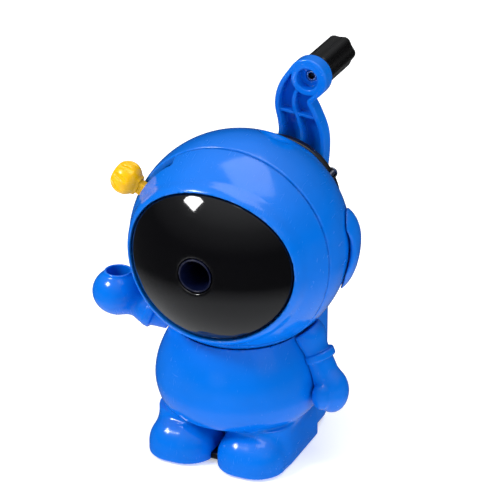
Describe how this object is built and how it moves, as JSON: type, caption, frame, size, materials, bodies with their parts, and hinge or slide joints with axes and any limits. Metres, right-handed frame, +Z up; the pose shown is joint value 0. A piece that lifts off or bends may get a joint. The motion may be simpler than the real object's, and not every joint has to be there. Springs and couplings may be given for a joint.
{
  "type": "pencil sharpener",
  "caption": "Glossy blue astronaut-shaped desktop pencil sharpener with a black visor, a yellow clamp lever, a hand crank at the back and a pull-out shavings drawer.",
  "frame": {"origin": "on the ground under the centre of the helmet, on the underside of the rubber grip pad", "axes": "+Z up, -Y forwards out of the visor (the pencil goes in along +Y), +X towards the figure's left hand"},
  "size_m": [0.0945, 0.1058, 0.1295],
  "materials": {
    "gloss_blue_plastic": "glossy moulded",
    "inner_blue_plastic": "satin moulded",
    "gloss_black_plastic": "mirror-like gloss",
    "black_plastic": "fine satin",
    "navy_plastic": "satin",
    "yellow_plastic": "glossy moulded",
    "white_plastic": "slippery satin",
    "black_rubber": "matt",
    "bright_steel": "bright zinc plated",
    "cutter_steel": "ground, lightly oiled",
    "cast_zinc": "as cast",
    "gear_brass": "machined"
  },
  "bodies": {
    "housing": {"head_shell": "gloss_blue_plastic", "left_ear_pod": "gloss_blue_plastic", "right_ear_pod": "gloss_blue_plastic", "rear_cover": "black_plastic", "shaft_bush": "white_plastic", "head_bulkhead": "inner_blue_plastic", "ring_gear": "white_plastic", "body_front_shell": "gloss_blue_plastic", "body_rear_shell": "gloss_blue_plastic", "raised_arm": "gloss_blue_plastic", "lowered_arm": "gloss_blue_plastic", "base_plate": "black_plastic", "grip_pad": "black_rubber", "base_screw_1": "bright_steel", "base_screw_2": "bright_steel", "base_screw_3": "bright_steel", "base_screw_4": "bright_steel", "bulkhead_screw_1": "bright_steel", "bulkhead_screw_2": "bright_steel", "bulkhead_screw_3": "bright_steel", "cover_screw_1": "bright_steel", "cover_screw_2": "bright_steel", "cover_screw_3": "bright_steel", "left_feed_spring": "bright_steel", "right_feed_spring": "bright_steel"},
    "face_unit": {"face_shell": "gloss_blue_plastic", "visor": "gloss_black_plastic", "pencil_guide": "navy_plastic", "clamp_plate": "inner_blue_plastic", "clamp_screw_1": "bright_steel", "clamp_screw_2": "bright_steel", "clamp_screw_3": "bright_steel", "left_guide_rod": "bright_steel", "right_guide_rod": "bright_steel", "left_rod_stop": "black_plastic", "right_rod_stop": "black_plastic"},
    "clamp_cam": {"cam_ring": "white_plastic", "release_lever": "yellow_plastic"},
    "jaw_top": {"clamp_jaw_1": "black_plastic"},
    "jaw_right": {"clamp_jaw_2": "black_plastic"},
    "jaw_left": {"clamp_jaw_3": "black_plastic"},
    "crank": {"crank_arm": "gloss_blue_plastic", "cutter_carrier": "cast_zinc", "cutter_axle": "bright_steel", "crank_washer": "bright_steel", "crank_screw": "bright_steel", "grip_pin": "bright_steel"},
    "grip": {"crank_grip": "black_plastic"},
    "cutter": {"helical_cutter": "cutter_steel", "cutter_pinion": "gear_brass"},
    "drawer": {"shavings_drawer": "gloss_blue_plastic"}
  },
  "joints": [
    {"name": "face_feed", "type": "slide", "parent": "housing", "child": "face_unit", "axis": [0, -1, 0], "range_m": [0, 0.017], "stiffness_N_per_m": 80, "springref_m": -0.006, "deforming": ["left_feed_spring", "right_feed_spring"]},
    {"name": "clamp_release", "type": "hinge", "parent": "face_unit", "child": "clamp_cam", "pos_m": [0, -0.0122, 0.0787], "axis": [0, 1, 0], "range_deg": [0, 22], "stiffness_Nm_per_rad": 0.02, "springref_deg": -17.19},
    {"name": "jaw_top_slide", "type": "slide", "parent": "face_unit", "child": "jaw_top", "axis": [0, 0, 1], "range_m": [0, 0.0024]},
    {"name": "jaw_right_slide", "type": "slide", "parent": "face_unit", "child": "jaw_right", "axis": [-0.866, 0, -0.5], "range_m": [0, 0.0024]},
    {"name": "jaw_left_slide", "type": "slide", "parent": "face_unit", "child": "jaw_left", "axis": [0.866, 0, -0.5], "range_m": [0, 0.0024]},
    {"name": "crank_spin", "type": "hinge", "parent": "housing", "child": "crank", "pos_m": [0, 0.034, 0.0787], "axis": [0, 1, 0], "continuous": true},
    {"name": "grip_spin", "type": "hinge", "parent": "crank", "child": "grip", "pos_m": [0.0082, 0.056, 0.1222], "axis": [0, 1, 0], "continuous": true},
    {"name": "cutter_spin", "type": "hinge", "parent": "crank", "child": "cutter", "pos_m": [0, -0.0037, 0.0684], "axis": [0, 0.9816, 0.1908], "continuous": true},
    {"name": "drawer_slide", "type": "slide", "parent": "housing", "child": "drawer", "axis": [0, 1, 0], "range_m": [0, 0.032]}
  ],
  "couplings": [
    {"joint": "jaw_top_slide", "follows": "clamp_release", "m_per_rad": 0.00625},
    {"joint": "jaw_right_slide", "follows": "clamp_release", "m_per_rad": 0.00625},
    {"joint": "jaw_left_slide", "follows": "clamp_release", "m_per_rad": 0.00625},
    {"joint": "cutter_spin", "follows": "crank_spin", "ratio": -3.3333}
  ]
}
